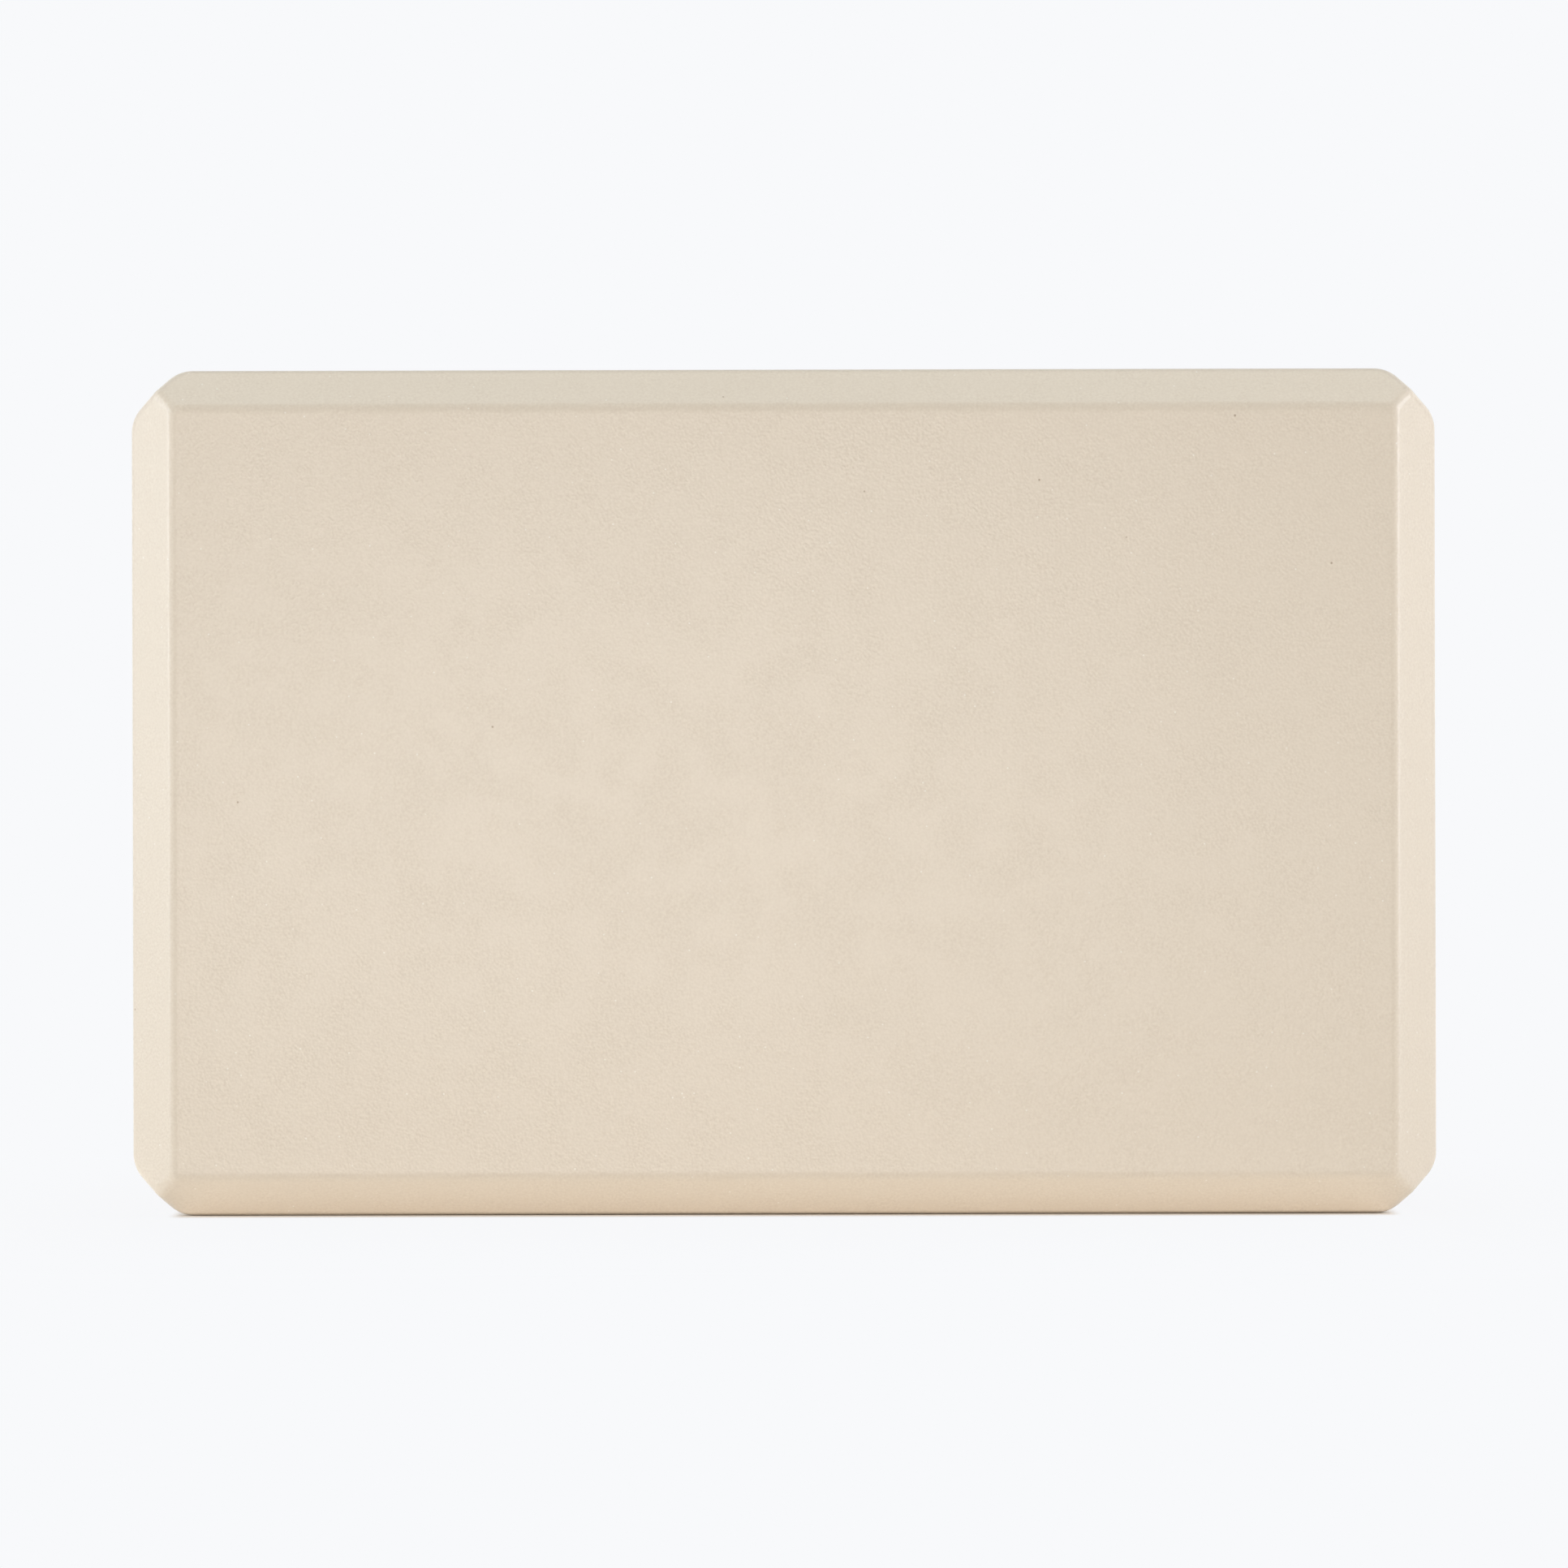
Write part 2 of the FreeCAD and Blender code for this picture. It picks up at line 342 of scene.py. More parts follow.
half_film = sums(ply_tree, "MULTIPLY", size["Film"], 0.5)
ply_depth = sums(ply_tree, "SUBTRACT", sums(ply_tree, "MULTIPLY", size["Thickness"], 0.5), half_film)
between_zones = sums(ply_tree, "SUBTRACT", ply_depth, EDGE_ZONE + SEAM_ZONE)
along_stretches = half_side_stretches(size["Length"])
up_stretches = half_side_stretches(size["Height"])
through_stretches = [
    (SEAM_ROWS, SEAM_ZONE),
    (wide_rows(between_zones), between_zones),
    (EDGE_ROWS, EDGE_ZONE),
]
print(f"{EDGE_ROWS:.0f} rows in {EDGE_ZONE / MM:.0f} mm at an edge, {WIDE_STEP / MM:.1f} mm apart between")

# %% Build the box of rows, open where the bond will be
MOSTLY_BACKWARDS = 0.5

both_halves = {
    "Size": (2, 1, 2),
    "Vertices X": sums(ply_tree, "MULTIPLY_ADD", count_rows(along_stretches), 2.0, 1.0),
    "Vertices Y": sums(ply_tree, "ADD", count_rows(through_stretches), 1.0),
    "Vertices Z": sums(ply_tree, "MULTIPLY_ADD", count_rows(up_stretches), 2.0, 1.0),
}
even_box = add_node(ply_tree, "GeometryNodeMeshCube", both_halves).outputs[0]
_, facing_back, _ = parts_of(ply_tree, ply_tree.nodes.new("GeometryNodeInputNormal").outputs[0])
faces_the_bond = sums(ply_tree, "GREATER_THAN", facing_back, MOSTLY_BACKWARDS)
open_box = add_node(
    ply_tree,
    "GeometryNodeDeleteGeometry",
    {"Geometry": even_box, "Selection": faces_the_bond},
    domain="FACE",
    mode="ALL",
).outputs[0]

even_along, even_through, even_up = parts_of(ply_tree, here)


def both_ways(even, stretches):
    """A row's place left or right of the middle, or above or below it."""
    place = lay_rows(sums(ply_tree, "ABSOLUTE", even), stretches)
    return sums(ply_tree, "MULTIPLY", place, sums(ply_tree, "SIGN", even))


from_bond = lay_rows(sums(ply_tree, "SUBTRACT", 0.5, even_through), through_stretches)
laid_out = vector_of(
    ply_tree,
    both_ways(even_along, along_stretches),
    sums(ply_tree, "MULTIPLY", sums(ply_tree, "ADD", from_bond, half_film), -1.0),
    both_ways(even_up, up_stretches),
)
box = add_node(ply_tree, "GeometryNodeSetPosition", {"Geometry": open_box, "Position": laid_out}).outputs[0]
print(f"box of rows: {len(ply_tree.nodes)} nodes so far")

# %% [markdown]
# The finish paints every arris a little paler, a painted highlight, and so it should know where they are. For
# every point of the box, Geometry Proximity finds the nearest point of the core. The sharp edges of the core
# lie under the arrises, so its flat edges are deleted and the distance to what is left is kept on the box as
# an attribute, 1 on an arris and 0 a few millimetres away.

# %% Note where the arrises are
FLAT_ANGLE = 0.05
ARRIS_REACH = 3 * MM

on_core = add_node(
    ply_tree,
    "GeometryNodeProximity",
    {"Geometry": core, "Sample Position": here},
    target_element="FACES",
).outputs["Position"]
turn_at_edge = ply_tree.nodes.new("GeometryNodeInputMeshEdgeAngle").outputs["Unsigned Angle"]
is_flat = sums(ply_tree, "LESS_THAN", turn_at_edge, FLAT_ANGLE)
core_edges = add_node(
    ply_tree,
    "GeometryNodeDeleteGeometry",
    {"Geometry": core, "Selection": is_flat},
    domain="EDGE",
    mode="EDGE_FACE",
).outputs[0]
to_edge = add_node(
    ply_tree,
    "GeometryNodeProximity",
    {"Geometry": core_edges, "Sample Position": on_core},
    target_element="EDGES",
).outputs["Distance"]
arris = ramp(ply_tree, to_edge, 0.0, ARRIS_REACH, 1.0, 0.0, smooth=True)
marked_box = add_node(
    ply_tree,
    "GeometryNodeStoreNamedAttribute",
    {"Geometry": box, "Name": "arris", "Value": arris},
    data_type="FLOAT",
    domain="POINT",
).outputs[0]
print(f"arrises marked to {ARRIS_REACH / MM:.0f} mm away")

# %% [markdown]
# Laying the skin on the core. Each point of the box goes to its nearest point on the core, and out again by
# the rounding radius. Two small things are taken off that radius. Foam is never quite flat, so a slow noise
# draws the skin in by a few hundredths of a millimetre here and there. Beside the bond the edge of the ply
# is rounded in, which leaves a fine groove round the block.

# %% Lay the skin on the core
WOBBLE_DETAIL = 1.0

outwards = vectors(ply_tree, "NORMALIZE", vectors(ply_tree, "SUBTRACT", here, on_core))
wobble_scale = sums(ply_tree, "DIVIDE", 1.0, size["Wobble Span"])
slow_noise = add_node(
    ply_tree,
    "ShaderNodeTexNoise",
    {"Vector": here, "W": size["Seed"], "Scale": wobble_scale, "Detail": WOBBLE_DETAIL},
    noise_dimensions="4D",
).outputs[0]
drawn_in = sums(ply_tree, "MULTIPLY", slow_noise, size["Wobble"])

_, depth_here, _ = parts_of(ply_tree, here)
off_bond = sums(ply_tree, "SUBTRACT", sums(ply_tree, "ABSOLUTE", depth_here), half_film)
into_round = sums(ply_tree, "MAXIMUM", sums(ply_tree, "SUBTRACT", size["Seam Round"], off_bond), 0.0)
round_squared = sums(ply_tree, "MULTIPLY", size["Seam Round"], size["Seam Round"])
left_of_round = sums(ply_tree, "SUBTRACT", round_squared, sums(ply_tree, "MULTIPLY", into_round, into_round))
seam_lip = sums(ply_tree, "SUBTRACT", size["Seam Round"], sums(ply_tree, "SQRT", left_of_round))

swell = sums(ply_tree, "SUBTRACT", sums(ply_tree, "SUBTRACT", inset, drawn_in), seam_lip)
skin_place = vectors(ply_tree, "ADD", on_core, scaled(ply_tree, outwards, swell))
on_skin = {"Geometry": marked_box, "Position": skin_place}
open_skin = add_node(ply_tree, "GeometryNodeSetPosition", on_skin).outputs[0]
print(f"skin: {len(ply_tree.nodes)} nodes so far")

# %% [markdown]
# The bonded side is flat and never seen, but a piece should be closed. The open rim is extruded, its new
# points all go to one point in the middle of the bond, and Merge by Distance makes them one. After that
# the ply is turned to its side of the block, stood on the floor and given its material.

# %% Close the bonded side and finish the tree
FEWER_THAN_TWO = 1.5
MERGE_WITHIN = 0.001 * MM

faces_at_edge = ply_tree.nodes.new("GeometryNodeInputMeshEdgeNeighbors").outputs["Face Count"]
is_rim = sums(ply_tree, "LESS_THAN", faces_at_edge, FEWER_THAN_TWO)
cap = add_node(
    ply_tree,
    "GeometryNodeExtrudeMesh",
    {"Mesh": open_skin, "Selection": is_rim, "Offset Scale": 0.0},
    mode="EDGES",
)
bond_middle = vector_of(ply_tree, y=sums(ply_tree, "MULTIPLY", half_film, -1.0))
drawn_together = add_node(
    ply_tree,
    "GeometryNodeSetPosition",
    {"Geometry": cap.outputs["Mesh"], "Selection": cap.outputs["Top"], "Position": bond_middle},
).outputs[0]
closed = add_node(
    ply_tree,
    "GeometryNodeMergeByDistance",
    {"Geometry": drawn_together, "Selection": cap.outputs["Top"], "Distance": MERGE_WITHIN},
).outputs[0]
smooth = add_node(
    ply_tree,
    "GeometryNodeSetShadeSmooth",
    {"Geometry": closed, "Shade Smooth": sums(ply_tree, "SUBTRACT", 1.0, cap.outputs["Side"])},
    domain="FACE",
).outputs[0]
stand = {
    "Geometry": smooth,
    "Translation": vector_of(ply_tree, z=sums(ply_tree, "MULTIPLY", size["Height"], 0.5)),
    "Rotation": vector_of(ply_tree, z=size["Turn"]),
}
stood = add_node(ply_tree, "GeometryNodeTransform", stand).outputs[0]
whole = add_node(ply_tree, "GeometryNodeRealizeInstances", {0: stood}).outputs[0]
dressed = add_node(ply_tree, "GeometryNodeSetMaterial", {"Geometry": whole, "Material": size["Foam"]})
add_node(ply_tree, "NodeGroupOutput", {0: dressed.outputs[0]})
print(f"{ply_tree.name}: {len(ply_tree.nodes)} nodes")

# %% [markdown]
# The foam's finish. Close up, the skin is a fine irregular pebble, about 0.7 mm from crown to crown, pressed
# more firmly in some places than in others. Noise gives the crowns and a smooth cell pattern breaks them
# up. The film of adhesive has a coarser grain of the same kind, so the grain is a node group with its sizes
# as inputs. It gives out a height about 0.5 and the patches where the grain is stronger. The height swings
# about the same middle in every patch, so that the patches show in the grain and not as blotches of colour.


# %% Group: pebbled grain
def add_group(name, inputs, outputs):
    """An empty shader node group with named inputs and outputs."""
    group = bpy.data.node_groups.new(name, "ShaderNodeTree")
    for socket, kind in inputs.items():
        group.interface.new_socket(socket, in_out="INPUT", socket_type=kind)
    for socket, kind in outputs.items():
        group.interface.new_socket(socket, in_out="OUTPUT", socket_type=kind)
    return group


MIDDLE = 0.5
CELL_SHARE = 0.3
PEBBLE_MIDDLE = MIDDLE - MIDDLE * CELL_SHARE
CROWN_DETAIL = 0.5
CELL_SMOOTHNESS = 0.6
PATCH_DETAIL = 2.0
PATCH_STARTS, PATCH_IS_FULL = 0.35, 0.65
FAINT_SWING = 0.6

grain = add_group(
    "pebbled_grain",
    {"Place": "NodeSocketVector", "Pebble": "NodeSocketFloat", "Patch": "NodeSocketFloat"},
    {"Height": "NodeSocketFloat", "Patches": "NodeSocketFloat"},
)
given = grain.nodes.new("NodeGroupInput").outputs
per_pebble = sums(grain, "DIVIDE", 1.0, given["Pebble"])
per_patch = sums(grain, "DIVIDE", 1.0, given["Patch"])
crowns = add_node(
    grain,
    "ShaderNodeTexNoise",
    {"Vector": given["Place"], "Scale": per_pebble, "Detail": CROWN_DETAIL},
).outputs[0]
cells = add_node(
    grain,
    "ShaderNodeTexVoronoi",
    {"Vector": given["Place"], "Scale": per_pebble, "Smoothness": CELL_SMOOTHNESS},
    feature="SMOOTH_F1",
).outputs["Distance"]
slow = add_node(
    grain,
    "ShaderNodeTexNoise",
    {"Vector": given["Place"], "Scale": per_patch, "Detail": PATCH_DETAIL},
).outputs[0]
patches = ramp(grain, slow, PATCH_STARTS, PATCH_IS_FULL, smooth=True)
pebbles = sums(grain, "SUBTRACT", crowns, sums(grain, "MULTIPLY_ADD", cells, CELL_SHARE, PEBBLE_MIDDLE))
swing = sums(grain, "MULTIPLY", pebbles, ramp(grain, patches, 0.0, 1.0, FAINT_SWING, 1.0))
height = sums(grain, "ADD", swing, MIDDLE)
add_node(grain, "NodeGroupOutput", {"Height": height, "Patches": patches})
print(f"{grain.name}: {len(grain.nodes)} nodes")

# %% [markdown]
# The foam itself is a warm cream, and it drifts by about one part in a hundred from place to place. The
# valleys of the grain are painted a shade darker and its crowns paler: painted shade and painted light, laid
# over the shading that the bump gives. Now and then a raised crown is painted as a tiny pale speck, a painted
# glint, and a burst cell leaves a pit no wider than a pencil dot, painted dark as painted shade in its
# hollow.
# Every arris is painted a little paler as well, a painted highlight. Glints and pits both come from a cell
# pattern in the solid: a dot shows only where a cell's centre lies right at the surface, so dots stay few and
# scattered. The gloss is kept almost even. Below a roughness of about 0.27 the denoiser takes a surface for a
# mirror, and a gloss that wanders across that line leaves frayed arrises in the picture.

# %% Helpers for materials
DOT_CORE = 0.3


def new_material(name):
    """A material with an empty node tree, its tree, its shader and its Object coordinates."""
    material = bpy.data.materials.new(name)
    material.use_nodes = True
    tree = material.node_tree
    tree.nodes.clear()
    shader = tree.nodes.new("ShaderNodeBsdfPrincipled")
    output = tree.nodes.new("ShaderNodeOutputMaterial")
    tree.links.new(shader.outputs[0], output.inputs["Surface"])
    place = tree.nodes.new("ShaderNodeTexCoord").outputs["Object"]
    return material, tree, shader, place


def mixed(tree, share, first, second):
    """One colour run into another."""
    node = add_node(tree, "ShaderNodeMix", data_type="RGBA")
    colour_a, colour_b = [socket for socket in node.inputs if socket.type == "RGBA"]
    feed(tree, node.inputs["Factor"], share)
    feed(tree, colour_a, first)
    feed(tree, colour_b, second)
    return next(socket for socket in node.outputs if socket.type == "RGBA")


def scattered_dots(tree, place, spacing, radius):
    """1 in small round dots, scattered about as far apart as the spacing in the solid, and 0 elsewhere."""
    feeds = {"Vector": place, "Scale": 1 / spacing}
    to_centre = add_node(tree, "ShaderNodeTexVoronoi", feeds).outputs["Distance"]
    return ramp(tree, to_centre, DOT_CORE * radius / spacing, radius / spacing, 1.0, 0.0, smooth=True)


# %% Material: foam
PEBBLE_SIZE = 0.45 * MM
PATCH_SIZE = 5 * MM
DRIFT_SPAN = 60 * MM
DRIFT_DETAIL = 3.0
GLINT_SPACING, GLINT_RADIUS = 3 * MM, 0.24 * MM
PIT_SPACING, PIT_RADIUS = 15 * MM, 0.28 * MM

foam, tree, shader, place = new_material("foam_skin")
skin_grain = add_node(tree, "ShaderNodeGroup", node_tree=grain)
for key, value in {"Place": place, "Pebble": PEBBLE_SIZE, "Patch": PATCH_SIZE}.items():
    feed(tree, skin_grain.inputs[key], value)
drift_feeds = {"Vector": place, "Scale": 1 / DRIFT_SPAN, "Detail": DRIFT_DETAIL}
drift = add_node(tree, "ShaderNodeTexNoise", drift_feeds).outputs[0]
# Where the arrises are, for the painted highlight along them.
arris_highlight = add_node(tree, "ShaderNodeAttribute", attribute_name="arris").outputs["Fac"]
# Dots for the painted glints, on crowns that the bump also raises.
glint_specks = scattered_dots(tree, place, GLINT_SPACING, GLINT_RADIUS)
pits = scattered_dots(tree, place, PIT_SPACING, PIT_RADIUS)
print(f"pebbles of {PEBBLE_SIZE / MM:.2f} mm in patches of {PATCH_SIZE / MM:.0f} mm")

# %% Foam colour, gloss and bump
# Painted shade in the grain's valleys and painted light on its crowns.
VALLEY_SHADE_COLOUR = (0.717, 0.622, 0.507, 1)
CROWN_LIT_COLOUR = (0.781, 0.692, 0.574, 1)
# The colour of a painted glint.
PAINTED_GLINT_COLOUR = (0.86, 0.80, 0.71, 1)
# Painted shade in the pits.
PIT_SHADE_COLOUR = (0.47, 0.36, 0.26, 1)
VALLEY_LEVEL, CROWN_LEVEL = 0.2, 0.8
DRIFT_LOW, DRIFT_HIGH = 0.3, 0.7
DRIFT_SHARE = 0.05
# How much paler every arris is painted, a painted highlight.
ARRIS_HIGHLIGHT_SHARE = 0.05
ROUGHNESS_LOW, ROUGHNESS_HIGH = 0.295, 0.315
FOAM_SPECULAR = 0.375
PIT_DEPTH = 0.8
GLINT_CROWN_RISE = 0.3
PEBBLE_HEIGHT = 0.04 * MM

# The grain's valleys are painted darker as painted shade, and its crowns paler as painted light.
crown_light_share = ramp(tree, skin_grain.outputs["Height"], VALLEY_LEVEL, CROWN_LEVEL)
paler_and_lit = sums(tree, "ADD", crown_light_share, ramp(tree, drift, DRIFT_LOW, DRIFT_HIGH, -DRIFT_SHARE, DRIFT_SHARE))
# Every arris is painted paler, a painted highlight.
paler_and_lit = sums(tree, "MULTIPLY_ADD", arris_highlight, ARRIS_HIGHLIGHT_SHARE, paler_and_lit)
cream = mixed(tree, paler_and_lit, VALLEY_SHADE_COLOUR, CROWN_LIT_COLOUR)
# Pale specks painted on raised crowns: painted glints.
with_painted_glints = mixed(tree, glint_specks, cream, PAINTED_GLINT_COLOUR)
# The pits are painted dark, as painted shade in their hollows; the bump gives their depth.
feed(tree, shader.inputs["Base Color"], mixed(tree, pits, with_painted_glints, PIT_SHADE_COLOUR))

gloss = ramp(tree, skin_grain.outputs["Patches"], 0.0, 1.0, ROUGHNESS_LOW, ROUGHNESS_HIGH)
feed(tree, shader.inputs["Roughness"], gloss)
shader.inputs["Specular IOR Level"].default_value = FOAM_SPECULAR
skin_height = sums(tree, "MULTIPLY_ADD", pits, -PIT_DEPTH, skin_grain.outputs["Height"])
skin_height = sums(tree, "MULTIPLY_ADD", glint_specks, GLINT_CROWN_RISE, skin_height)
bump = add_node(tree, "ShaderNodeBump", {"Height": skin_height, "Distance": PEBBLE_HEIGHT, "Strength": 1.0})
feed(tree, shader.inputs["Normal"], bump.outputs[0])
print(f"{foam.name}: {len(tree.nodes)} nodes")

# %% [markdown]
# The dried adhesive shows only as a thread at the bottom of the groove round the block. It is a little
# darker and shinier than the foam, with a coarse grain from the roller that spread it.

# %% Material: dried adhesive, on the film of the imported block
ADHESIVE_COLOUR = (0.50, 0.39, 0.27, 1)
ADHESIVE_COLOUR_THIN = (0.62, 0.51, 0.38, 1)
ADHESIVE_ROUGHNESS_LOW, ADHESIVE_ROUGHNESS_HIGH = 0.3, 0.45
ROLLER_PEBBLE_SIZE = 1.6 * MM
ROLLER_PATCH_SIZE = 9 * MM
ROLLER_HEIGHT = 0.05 * MM

adhesive, tree, shader, place = new_material("dried_adhesive")
roller_grain = add_node(tree, "ShaderNodeGroup", node_tree=grain)
for key, value in {"Place": place, "Pebble": ROLLER_PEBBLE_SIZE, "Patch": ROLLER_PATCH_SIZE}.items():
    feed(tree, roller_grain.inputs[key], value)
amber = mixed(tree, roller_grain.outputs["Patches"], ADHESIVE_COLOUR, ADHESIVE_COLOUR_THIN)
feed(tree, shader.inputs["Base Color"], amber)
roller_height = roller_grain.outputs["Height"]
gloss = ramp(tree, roller_height, 0.0, 1.0, ADHESIVE_ROUGHNESS_LOW, ADHESIVE_ROUGHNESS_HIGH)
feed(tree, shader.inputs["Roughness"], gloss)
bump = add_node(tree, "ShaderNodeBump", {"Height": roller_height, "Distance": ROLLER_HEIGHT})
feed(tree, shader.inputs["Normal"], bump.outputs[0])

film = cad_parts["bond_film"]
for slot in film.material_slots:
    slot.material = adhesive
print(f"{film.name}: {adhesive.name}")

# %% [markdown]
# Now the plies. An object with an empty mesh gets the tree as a modifier, and the modifier's inputs are set
# before it is first evaluated. The result is then copied to a plain mesh and the modifier goes. The rear
# ply is the front one turned half round, with a seed of its own so that its faces dip in other places.

# %% Make the two plies
PLY_SIZES = {
    "Length": BLOCK_LENGTH,
    "Height": BLOCK_HEIGHT,
    "Thickness": BLOCK_THICKNESS,
    "Film": FILM_THICKNESS,
    "End Bevel": 7.6 * MM,
    "Long Bevel": 6.8 * MM,
    "Corner Bevel": 8.4 * MM,
    "Corner Round": 6.0 * MM,
    "Arris Round": 2.4 * MM,
    "Seam Round": 0.4 * MM,
    "Wobble": 0.06 * MM,
    "Wobble Span": 45 * MM,
    "Foam": foam,
}


def make_ply(name, turn, seed):
    """One ply as a plain mesh, made by the tree."""
    ply = bpy.data.objects.new(name, bpy.data.meshes.new(name + "_start"))
    bpy.context.scene.collection.objects.link(ply)
    shape = ply.modifiers.new("shape", "NODES")
    shape.node_group = ply_tree
    chosen = {**PLY_SIZES, "Turn": turn, "Seed": seed}
    for socket in ply_tree.interface.items_tree:
        if socket.in_out == "INPUT":
            shape[socket.identifier] = chosen[socket.name]
    evaluated = ply.evaluated_get(bpy.context.evaluated_depsgraph_get())
    mesh = bpy.data.meshes.new_from_object(evaluated)
    ply.modifiers.clear()
    ply.data = mesh
    mesh.name = name
    return ply


def describe(piece):
    """Prints a piece's size, and stops if its surface is open or inside out."""
    shell = bmesh.new()
    shell.from_mesh(piece.data)
    open_edges = sum(not edge.is_manifold for edge in shell.edges)
    volume = shell.calc_volume(signed=True)
    triangles = sum(len(face.verts) - 2 for face in shell.faces)
    shell.free()
    print(f"{piece.name}: {triangles} triangles, {volume / MM**3 / 1000:.1f} ml, {open_edges} open edges")
    if open_edges or volume <= 0:
        raise ValueError(f"{piece.name} isn't a closed piece that faces outwards")


for name, node, turn, seed in (
    ("front_foam", "front_foam_ply", 0.0, 3.0),
    ("rear_foam", "rear_foam_ply", math.pi, 8.0),
):
    ply = make_ply(name, turn, seed)
    describe(ply)
    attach(ply, "root")
    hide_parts(node)

# %% [markdown]
# The floor and the background. The photograph's background is an even, very slightly cool white with no
# horizon, and only a thin dark line shows where the block stands. The floor here is a pale, warm board that
# throws light back up at the block. The camera sees the board itself close to the block, with the block's
# shadow on it, and a little of it further out. Past the two ends that strip of board is narrower, because
# the block's corners lift off the floor there. The rest is the plain background colour, which only the camera
# and clear reflections see, so it puts no extra light on the block.

# %% Floor
BACKGROUND = (0.939, 0.947, 0.965, 1)
FLOOR_COLOUR = (0.97, 0.93, 0.88, 1)
FLOOR_ROUGHNESS = 0.9
FLOOR_SIZE = 6.0
BASE_ROUNDED_OFF = 1 * MM
CONTACT_REACH = 9 * MM
ENDS_NARROWER = 2.5
SHADOW_REACH = 150 * MM
SHADOW_SHARE = 0.05


def seen_directly(tree):
    """1 for what the camera sees, straight or in a clear reflection, and 0 for light that falls on things."""
    path = tree.nodes.new("ShaderNodeLightPath").outputs
    mirrored = sums(tree, "MAXIMUM", path["Is Glossy Ray"], path["Is Transmission Ray"])
    return sums(tree, "MAXIMUM", path["Is Camera Ray"], mirrored)


half_floor = FLOOR_SIZE / 2
floor_corners = [(x * half_floor, y * half_floor, 0) for x, y in ((-1, -1), (1, -1), (1, 1), (-1, 1))]
floor_mesh = bpy.data.meshes.new("studio_floor")
floor_mesh.from_pydata(floor_corners, [], [(0, 1, 2, 3)])
floor = bpy.data.objects.new("studio_floor", floor_mesh)
bpy.context.scene.collection.objects.link(floor)

floor_material, tree, shader, place = new_material("studio_floor")
shader.inputs["Base Color"].default_value = FLOOR_COLOUR
shader.inputs["Roughness"].default_value = FLOOR_ROUGHNESS
shader.inputs["Specular IOR Level"].default_value = 0.0
base_ends = BLOCK_LENGTH / 2 - PLY_SIZES["Corner Bevel"] - BASE_ROUNDED_OFF
half_base = (base_ends, BLOCK_THICKNESS / 2 - PLY_SIZES["Long Bevel"], 0.0)
past_base = vectors(tree, "SUBTRACT", vectors(tree, "ABSOLUTE", place), half_base)
past_base = vectors(tree, "MAXIMUM", past_base, (0, 0, 0))
past_base = vectors(tree, "MULTIPLY", past_base, (ENDS_NARROWER, 1, 1))
away = add_node(tree, "ShaderNodeVectorMath", {0: past_base}, operation="LENGTH").outputs["Value"]
near_share = ramp(tree, away, 0.0, CONTACT_REACH, 1.0, 0.0, smooth=True)
far_share = ramp(tree, away, 0.0, SHADOW_REACH, SHADOW_SHARE, 0.0, smooth=True)
board_share = sums(tree, "MAXIMUM", near_share, far_share)
plain_share = sums(tree, "MULTIPLY", sums(tree, "SUBTRACT", 1.0, board_share), seen_directly(tree))
plain = add_node(tree, "ShaderNodeEmission", {"Color": BACKGROUND, "Strength": 1.0}).outputs[0]
both_looks = {0: plain_share, 1: shader.outputs[0], 2: plain}
floor_look = add_node(tree, "ShaderNodeMixShader", both_looks).outputs[0]
output = next(node for node in tree.nodes if node.type == "OUTPUT_MATERIAL")
feed(tree, output.inputs["Surface"], floor_look)
floor_mesh.materials.append(floor_material)
print(f"floor {FLOOR_SIZE:.0f} m, shadow kept to {SHADOW_REACH / MM:.0f} mm from the block")

# %% World
AMBIENT = 0.26

world = bpy.data.worlds.new("studio")
world.use_nodes = True
bpy.context.scene.world = world
tree = world.node_tree
tree.nodes.clear()
ambient = add_node(tree, "ShaderNodeBackground", {"Color": (1, 1, 1, 1), "Strength": AMBIENT}).outputs[0]
backdrop = add_node(tree, "ShaderNodeBackground", {"Color": BACKGROUND, "Strength": 1.0}).outputs[0]
surround = add_node(tree, "ShaderNodeMixShader", {0: seen_directly(tree), 1: ambient, 2: backdrop}).outputs[0]
add_node(tree, "ShaderNodeOutputWorld", {"Surface": surround})
print(f"ambient light {AMBIENT}")

# %% [markdown]
# The light. Each bevel of the block mirrors what lies straight to that side, so the four bevels show where
# the photographer's lamps were: tall ones to the left and right, one above and none below. The tall ones
# are narrow, and so they also draw a bright rim along each inner arris. The pale middle of the large face is
# the soft reflection of a low, wide lamp beside the camera. Two weak lamps in front keep the arrises from
# going dark, and a small high one lights the ridge of the upper right corner.
#
# Two more stand behind the block for the views from there. They are kept out of reflections, because at a
# flat angle they would draw a white fringe along the block's outline. A strength of 1 lights a surface that
# faces the lamp as bright as its own colour.


# %% Helpers for lamps
def add_lamp(name, place, facing, width, height, energy, colour):
    """A flat lamp that lights things but isn't in the picture itself."""
    lamp_data = bpy.data.lights.new(name, "AREA")
    lamp_data.shape = "RECTANGLE"
    lamp_data.size, lamp_data.size_y = width, height
    lamp_data.energy = energy
    lamp_data.color = colour
    lamp = bpy.data.objects.new(name, lamp_data)
    lamp.location = place
    lamp.rotation_mode = "QUATERNION"
    lamp.rotation_quaternion = facing.to_track_quat("-Z", "Y")
    lamp.visible_camera = False
    bpy.context.scene.collection.objects.link(lamp)
    return lamp


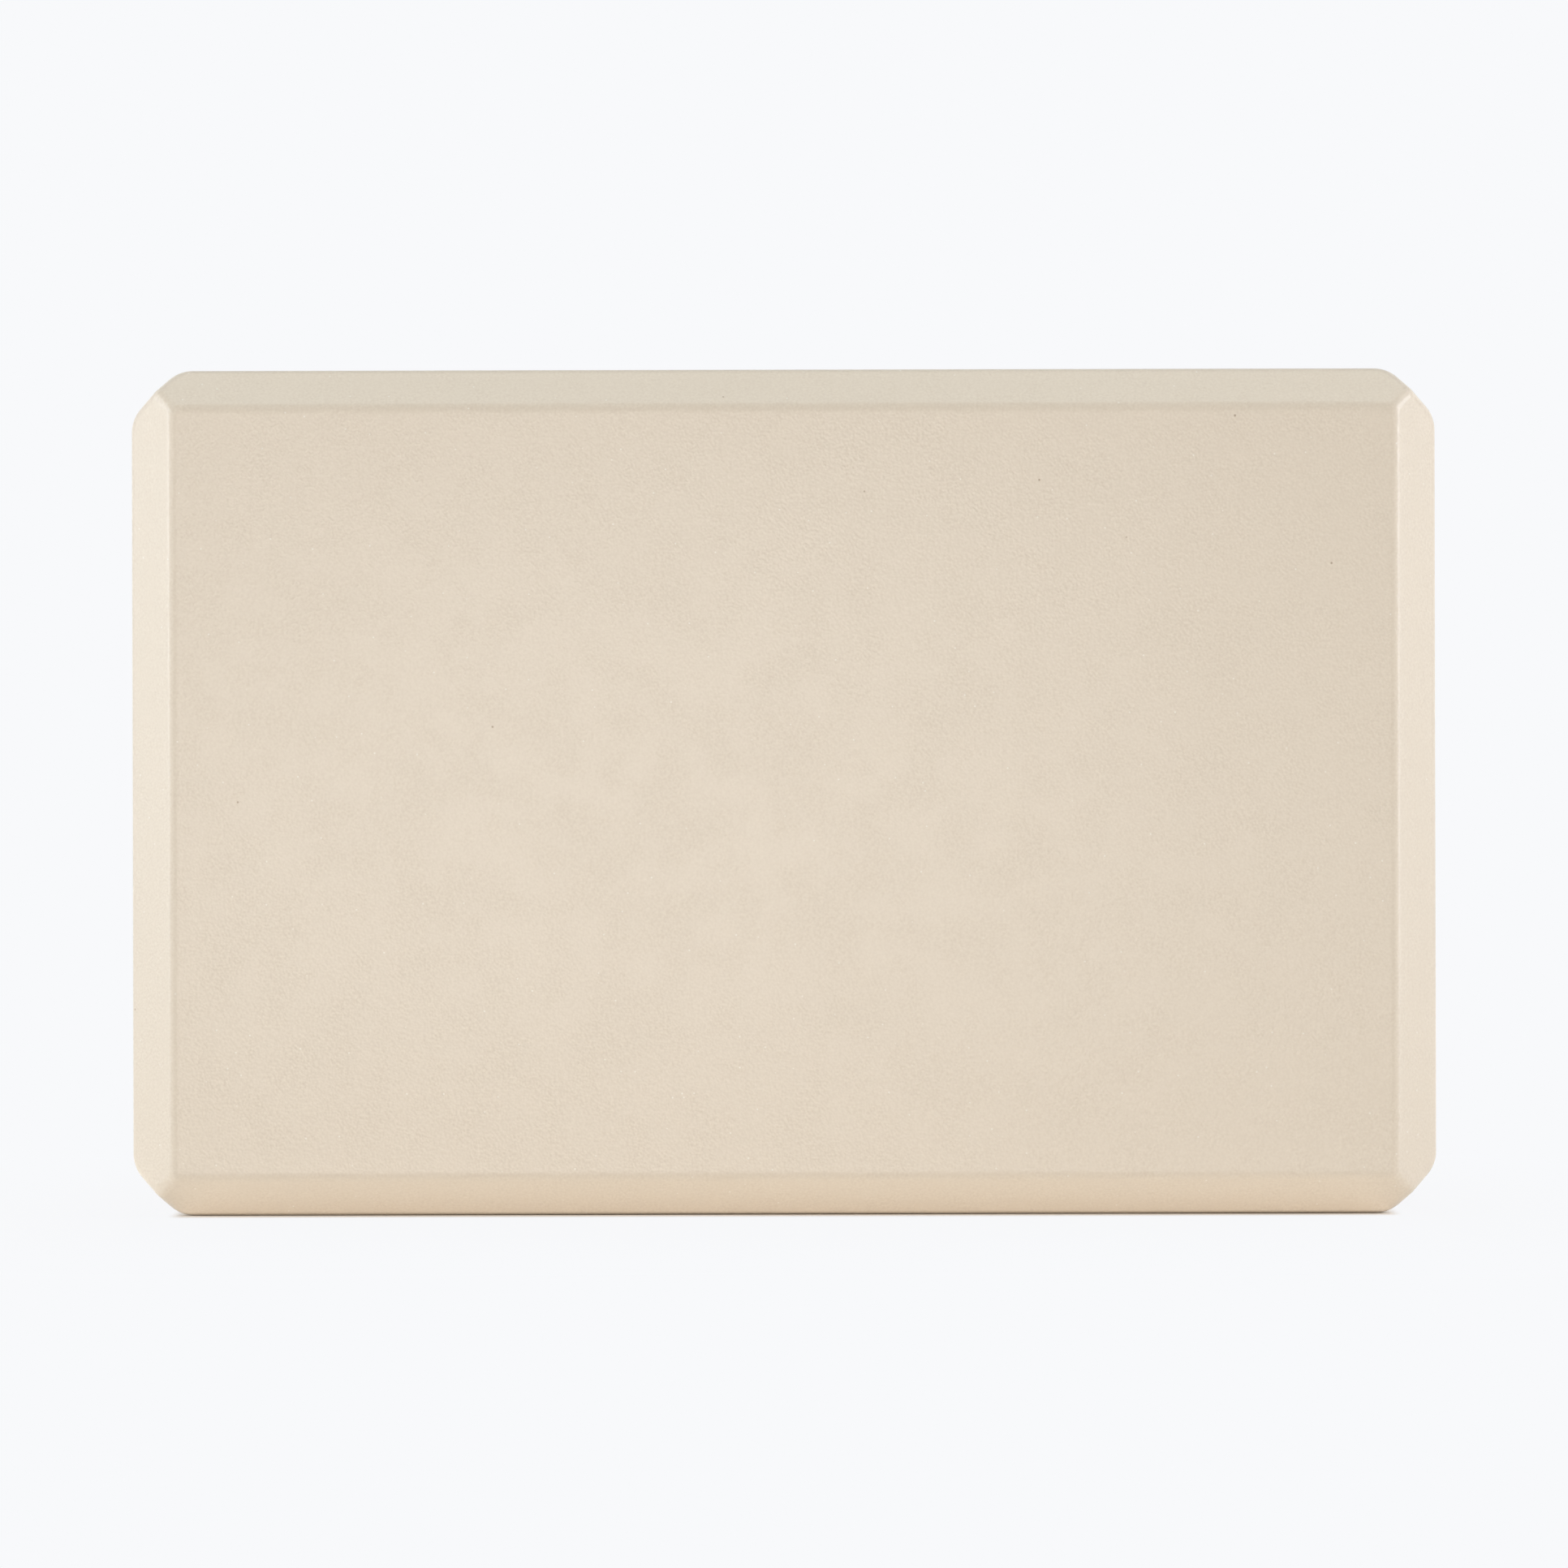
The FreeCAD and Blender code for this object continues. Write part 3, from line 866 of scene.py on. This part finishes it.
def add_softbox(name, azimuth, elevation, distance, width, height, strength, colour):
    """A lamp aimed at the middle of the block; azimuth 0 is the camera's side, and 90 is the right."""
    across, above = math.radians(azimuth), math.radians(elevation)
    level = math.cos(above)
    towards = Vector((math.sin(across) * level, -math.cos(across) * level, math.sin(above)))
    energy = strength * (math.pi * distance) ** 2
    return add_lamp(name, BLOCK_MIDDLE + towards * distance, -towards, width, height, energy, colour)


# %% Softboxes
PLAIN = (1.0, 1.0, 1.0)
WARM = (1.05, 1.0, 0.95)
COOL = (0.95, 1.0, 1.09)
COOLER = (0.92, 1.0, 1.09)
GREENISH = (0.95, 1.0, 0.94)

# Each row is a name, azimuth, elevation, distance, width, height, strength and colour.
SOFTBOXES = (
    ("camera_softbox", -3, -1, 1.25, 0.46, 0.13, 0.22, WARM),
    ("front_left_softbox", -42, 6, 1.4, 0.6, 0.6, 0.08, PLAIN),
    ("front_right_softbox", 42, 8, 1.4, 0.6, 0.6, 0.03, WARM),
    ("left_front_softbox", -79, 6, 1.0, 0.16, 0.9, 0.47, COOLER),
    ("left_softbox", -94, 6, 1.0, 0.35, 0.9, 0.11, COOLER),
    ("right_softbox", 80, 9, 1.0, 0.16, 0.8, 0.47, COOL),
    ("right_high_softbox", 86, 44, 1.0, 0.25, 0.25, 0.05, PLAIN),
    ("top_softbox", 0, 90, 1.1, 0.9, 0.5, 0.245, GREENISH),
)
REAR_SOFTBOXES = (
    ("rear_left_softbox", -150, 12, 1.6, 0.9, 0.7, 0.30, PLAIN),
    ("rear_right_softbox", 140, 12, 1.6, 0.9, 0.7, 0.30, PLAIN),
)
for row in SOFTBOXES:
    add_softbox(*row)
for row in REAR_SOFTBOXES:
    add_softbox(*row).visible_glossy = False
print(f"{len(SOFTBOXES)} softboxes, and {len(REAR_SOFTBOXES)} behind the block")

# %% [markdown]
# The lower bevel of the real block is nearly as bright as its face, because the bright floor shines up at it
# from a few millimetres away. A floor that is brighter than its own colour takes a lamp, so a faint strip of
# light lies on it along each long side, from under the overhang outwards. A broader one lies beside the left
# end, where the bevel stays as bright down to the floor as it is at the top. A glow of 1 is white.

# %% Glow of the floor beside the block
GLOW_UP = 0.3 * MM
STRIP_PAST_FACE = 0.1 * MM
STRIP_WIDTH = 13 * MM
STRIP_GLOW = 0.20
PATCH_WIDTH = 60 * MM
PATCH_GLOW = 0.25

strip_out = BLOCK_THICKNESS / 2 + STRIP_PAST_FACE
patch_out = (BLOCK_LENGTH + PATCH_WIDTH) / 2
long_strip = (BLOCK_LENGTH - 2 * PLY_SIZES["Corner Bevel"], STRIP_WIDTH, STRIP_GLOW)

for name, x, y, length, width, glow in (
    ("front_glow", 0.0, -strip_out, *long_strip),
    ("rear_glow", 0.0, strip_out, *long_strip),
    ("left_glow", -patch_out, 0.0, PATCH_WIDTH, BLOCK_THICKNESS, PATCH_GLOW),
):
    place = Vector((BLOCK_MIDDLE.x + x, BLOCK_MIDDLE.y + y, GLOW_UP))
    energy = glow * math.pi * length * width
    add_lamp(name, place, Vector((0, 0, 1)), length, width, energy, WARM)
